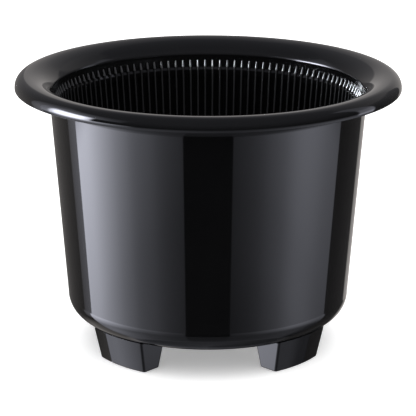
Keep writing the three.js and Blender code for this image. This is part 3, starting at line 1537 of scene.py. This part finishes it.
@dataclass(frozen=True)
class Surroundings:
    """What the pot's gloss mirrors: a sheet of light on each side, a dark gap and a pale wall behind.

    Angles are in degrees. Azimuth 0 is towards the camera and grows to the right, and elevation 0 is
    level. Levels are radiances, where 1 is white.

    Attributes:
        heading: Degrees by which the camera stands to the left of straight ahead.
        ambient: Level of the soft light that falls on everything.
    """

    heading: float
    ambient: float

    sheet_tint: tuple[float, ...] = (0.96, 0.98, 1.12, 1.0)
    backdrop_tint: tuple[float, ...] = (1.06, 1.0, 0.96, 1.0)
    sky: Stops = ((-20.0, 0.02), (50.0, 0.19))

    def shares(self, graph: Graph) -> tuple[Value, Value]:
        """Works out how bright each direction is.

        Args:
            graph: The world's node tree.

        Returns:
            The level of the lit panels and sky, and the level of the backdrop.
        """
        aim = graph.node("ShaderNodeTexCoord").outputs["Generated"]
        turned = graph.node(
            "ShaderNodeVectorRotate",
            {"rotation_type": "Z_AXIS"},
            {"Vector": aim, "Angle": math.radians(self.heading)},
        )
        parts = graph.node("ShaderNodeSeparateXYZ", {}, {"Vector": turned.outputs["Vector"]})
        right = graph.value(parts, "X")
        near = graph.value(parts, "Y") * -1.0
        up = graph.value(parts, "Z")
        to_degrees = math.degrees(1.0)
        azimuth = right.math("ARCTAN2", right, near) * to_degrees
        elevation = up.math("ARCSINE", up) * to_degrees
        (low, dark), (high, dim) = self.sky
        lit = graph.spread(elevation, low, high, dark, dim)
        for panel in Reflected:
            lit += panel.value.level(graph, azimuth, elevation)
        backdrop = sum((panel.value.level(graph, azimuth, elevation) for panel in Backdrop), 0.0)
        return lit, backdrop

    def build(self) -> None:
        """Sets the world up."""
        world = bpy.data.worlds.new("studio")
        bpy.context.scene.world = world
        world.use_nodes = True
        world.cycles.sampling_method = "NONE"
        graph = Graph(world.node_tree)
        lit, backdrop = self.shares(graph)
        sheets, wall, soft, white = (
            graph.node("ShaderNodeBackground", {}, {"Color": tint, "Strength": level}).outputs[0]
            for tint, level in (
                (self.sheet_tint, lit), (self.backdrop_tint, backdrop),
                (WHITE, self.ambient), (WHITE, 1.0),
            )
        )
        mirrored = graph.node("ShaderNodeAddShader", {}, {0: sheets, 1: wall}).outputs[0]
        glossy = graph.rays("Glossy")
        unseen = graph.node("ShaderNodeMixShader", {}, {0: glossy, 1: soft, 2: mirrored}).outputs[0]
        seen = graph.rays("Camera", "Transmission")
        whole = graph.node("ShaderNodeMixShader", {}, {0: seen, 1: unseen, 2: white}).outputs[0]
        graph.node("ShaderNodeOutputWorld", {}, {"Surface": whole})


@dataclass
class Studio:
    """A pale table, soft lamps, the surroundings that gloss mirrors, and the camera.

    Attributes:
        heading: Degrees by which the camera stands to the left of straight ahead.
        elevation: Degrees by which it looks down.
        distance: From the camera to the point that it looks at.
        aim_height: Height of that point.
        lens: Focal length for the sensor's width.
        view_depth: How far the camera sees.
    """

    heading: float = 1.25
    elevation: float = 16.8
    distance: float = 922.2
    aim_height: float = 63.8
    lens: float = 167.9
    sensor: float = 36.0
    roll: float = 0.11
    view_depth: float = 20000.0
    table_radius: float = 1600.0
    table_steps: int = 96
    table_tone: float = 0.93
    table_glow: float = 0.32
    table_lift: float = 0.3
    ambient: float = 0.3
    front_strength: float = 0.7
    back_strength: float = 1.2
    side_strength: float = 0.9
    side_azimuth: float = 75.0
    lamp_elevation: float = 48.0
    lamp_softness: float = 60.0
    softbox_azimuth: float = 80.0
    softbox_elevation: float = 9.5
    softbox_width: float = 28.4
    softbox_height: float = 25.0
    softbox_distance: float = 4000.0
    softbox_level: float = 155.0
    softbox_colour: tuple[float, ...] = (0.88, 0.94, 1.0)

    def direction(self, azimuth: float, elevation: float) -> Vector:
        """Finds the direction in which a place is seen from the pot.

        Args:
            azimuth: Degrees to the left of the camera.
            elevation: Degrees above level.

        Returns:
            The direction, of length one.
        """
        turn = math.radians(azimuth + self.heading)
        rise = math.radians(elevation)
        return Vector((
            -math.sin(turn) * math.cos(rise), -math.cos(turn) * math.cos(rise), math.sin(rise)
        ))

    def camera(self) -> None:
        """Sets up the camera at the photograph's viewing angle."""
        aim = Vector((0.0, 0.0, self.aim_height)) * MM
        away = self.direction(0.0, self.elevation)
        data = bpy.data.cameras.new("camera")
        data.lens = self.lens
        data.sensor_width = self.sensor
        data.clip_end = self.view_depth * MM
        camera = new_object("camera", data)
        camera.location = aim + away * self.distance * MM
        roll = Euler((0.0, 0.0, math.radians(self.roll))).to_quaternion()
        camera.rotation_euler = ((-away).to_track_quat("-Z", "Y") @ roll).to_euler()
        bpy.context.scene.camera = camera

    def table_white(self) -> bpy.types.Material:
        """Makes the table's matt white, which the camera and the gloss see a little lighter.

        Returns:
            The material.
        """
        made, graph = new_material("table_white")
        seen = graph.rays("Camera", "Glossy", "Transmission")
        matt = graph.node(
            "ShaderNodeBsdfDiffuse", {}, {"Color": self.table_tone + seen * self.table_lift}
        )
        glow = graph.node(
            "ShaderNodeEmission", {}, {"Color": WHITE, "Strength": seen * self.table_glow}
        )
        surface = graph.node("ShaderNodeAddShader", {}, {0: matt.outputs[0], 1: glow.outputs[0]})
        graph.node("ShaderNodeOutputMaterial", {}, {"Surface": surface.outputs[0]})
        return made

    def table(self) -> None:
        """Lays a round table under the pot."""
        body = Body()
        body.cap(body.level_loop(circle(self.table_radius, self.table_steps), 0.0))
        made = new_object("table", body.mesh("table"))
        made.data.materials.append(self.table_white())
        made.visible_glossy = False

    def lamp(self, name: str, strength: float, azimuth: float) -> None:
        """Hangs a wide soft lamp far away, which only matt surfaces show.

        Args:
            name: Name of the lamp.
            strength: Its strength.
            azimuth: Degrees to the right of the camera, as seen from the pot.
        """
        data = bpy.data.lights.new(name, "SUN")
        data.energy = strength
        data.angle = math.radians(self.lamp_softness)
        lamp = new_object(name, data)
        lamp.rotation_euler = (
            math.radians(90.0 - self.lamp_elevation), 0.0, math.radians(azimuth - self.heading)
        )
        lamp.visible_glossy = False

    def softbox(self, lit: bpy.types.Object) -> None:
        """Hangs a bright softbox at the left, which only one object's gloss shows.

        Args:
            lit: The object.
        """
        distance = self.softbox_distance * MM
        away = self.direction(self.softbox_azimuth, self.softbox_elevation)
        data = bpy.data.lights.new("softbox", "AREA")
        data.shape = "RECTANGLE"
        data.size = 2 * distance * math.tan(math.radians(self.softbox_width / 2))
        data.size_y = 2 * distance * math.tan(math.radians(self.softbox_height / 2))
        data.energy = self.softbox_level * math.pi * data.size * data.size_y
        data.color = self.softbox_colour
        made = new_object("softbox", data)
        made.location = away * distance
        made.rotation_euler = (-away).to_track_quat("-Z", "Y").to_euler()
        made.visible_camera = False
        made.visible_diffuse = False
        made.visible_transmission = False
        receivers = bpy.data.collections.new("softbox_receivers")
        receivers.objects.link(lit)
        made.light_linking.receiver_collection = receivers

    def build(self, liner: bpy.types.Object) -> None:
        """Builds the whole studio.

        Args:
            liner: The liner, whose rib tops the softbox lights.
        """
        self.camera()
        self.table()
        self.lamp("front_lamp", self.front_strength, azimuth=0.0)
        self.lamp("back_lamp", self.back_strength, azimuth=180.0)
        self.lamp("left_lamp", self.side_strength, azimuth=-self.side_azimuth)
        self.lamp("right_lamp", self.side_strength, azimuth=self.side_azimuth)
        self.softbox(liner)
        Surroundings(self.heading, self.ambient).build()
        bpy.context.scene.view_settings.view_transform = "Standard"


def main() -> None:
    """Builds the pot on the frame, piece by piece, and the studio round it."""
    logging.basicConfig(level=logging.INFO, format="%(name)s: %(message)s")
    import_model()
    shell_low, shell_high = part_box("pot_shell")
    liner_low, liner_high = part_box("rib_liner")
    grate_low, grate_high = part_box("drain_grate")
    pot = OuterPot(shell_high.x / MM, shell_high.z / MM, shell_low.z / MM)
    pot.build()
    liner_radius = liner_high.x / MM + RibLiner.hoop_inset
    liner = RibLiner(liner_high.z / MM, liner_low.z / MM, liner_radius).build()
    DrainGrate(grate_high.x / MM, grate_low.z / MM).build()
    for name, degrees in FOOT_DEGREES.items():
        Foot(name, degrees, pot).build()
    Studio().build(liner)


if __name__ == "__main__":
    main()
